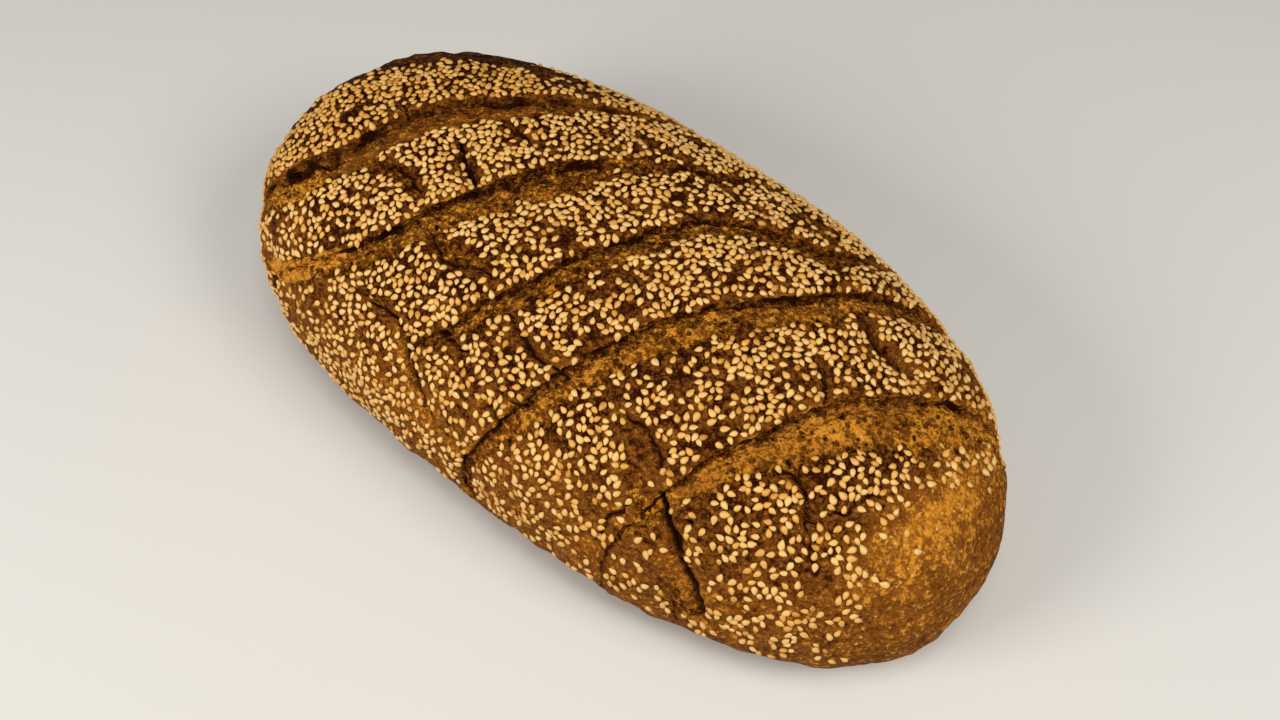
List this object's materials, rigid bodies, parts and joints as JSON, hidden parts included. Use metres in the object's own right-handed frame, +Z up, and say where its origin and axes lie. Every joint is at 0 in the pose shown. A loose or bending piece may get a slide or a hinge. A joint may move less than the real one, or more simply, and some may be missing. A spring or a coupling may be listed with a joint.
{
  "type": "sesame hearth loaf",
  "caption": "Long oval hearth-baked loaf of bread with a flat base, a domed crown opened by slanted slashes, and a crust covered in sesame seeds.",
  "frame": {"origin": "on the flat resting face, under the middle of the loaf's outline", "axes": "+Z up from the resting face, +X along the loaf towards its rounder, barer end, +Y across the loaf"},
  "size_m": [0.27, 0.1456, 0.081],
  "materials": {
    "crust": "matte",
    "sesame_seed": "satin"
  },
  "bodies": {
    "root": {"loaf": "crust"}
  },
  "joints": []
}
